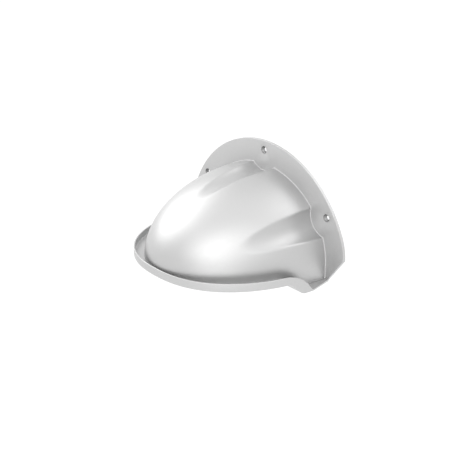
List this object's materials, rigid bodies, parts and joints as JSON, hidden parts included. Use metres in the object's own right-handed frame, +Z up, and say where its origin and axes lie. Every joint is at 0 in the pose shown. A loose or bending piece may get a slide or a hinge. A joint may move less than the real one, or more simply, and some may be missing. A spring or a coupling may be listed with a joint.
{
  "type": "convex security mirror",
  "caption": "Quarter-dome convex security mirror with an arched wall flange, a driver flute below each fixing hole, and a drip gutter with turned-down spouts.",
  "frame": {"origin": "on the wall's surface, on the centreline, level with the dome's mouth", "axes": "+Z up, +Y into the wall, +X along the wall to the right as seen by someone facing it; the dome stands out along -Y"},
  "size_m": [0.3, 0.1904, 0.1582],
  "materials": {
    "mirror_face": "satin-polished reflective skin, soft broad highlights",
    "satin_metal": "fine satin, light grey",
    "zinc_steel": "zinc-plated sheet",
    "screw_steel": "turned stainless steel",
    "black_foam": "closed-cell foam",
    "grey_rubber": "matt mid-grey rubber strip",
    "clear_sealant": "translucent light grey sealant bead"
  },
  "bodies": {
    "root": {"mirror_dome": "mirror_face", "dome_bead": "clear_sealant", "wall_flange": "satin_metal", "back_plate": "zinc_steel", "wall_gasket": "black_foam", "drip_gutter": "satin_metal", "mouth_seal": "grey_rubber", "mouth_frame": "zinc_steel", "bracket_left": "zinc_steel", "bracket_right": "zinc_steel", "bracket_screws": "screw_steel", "frame_screws": "screw_steel", "gutter_screws": "screw_steel"}
  },
  "joints": []
}
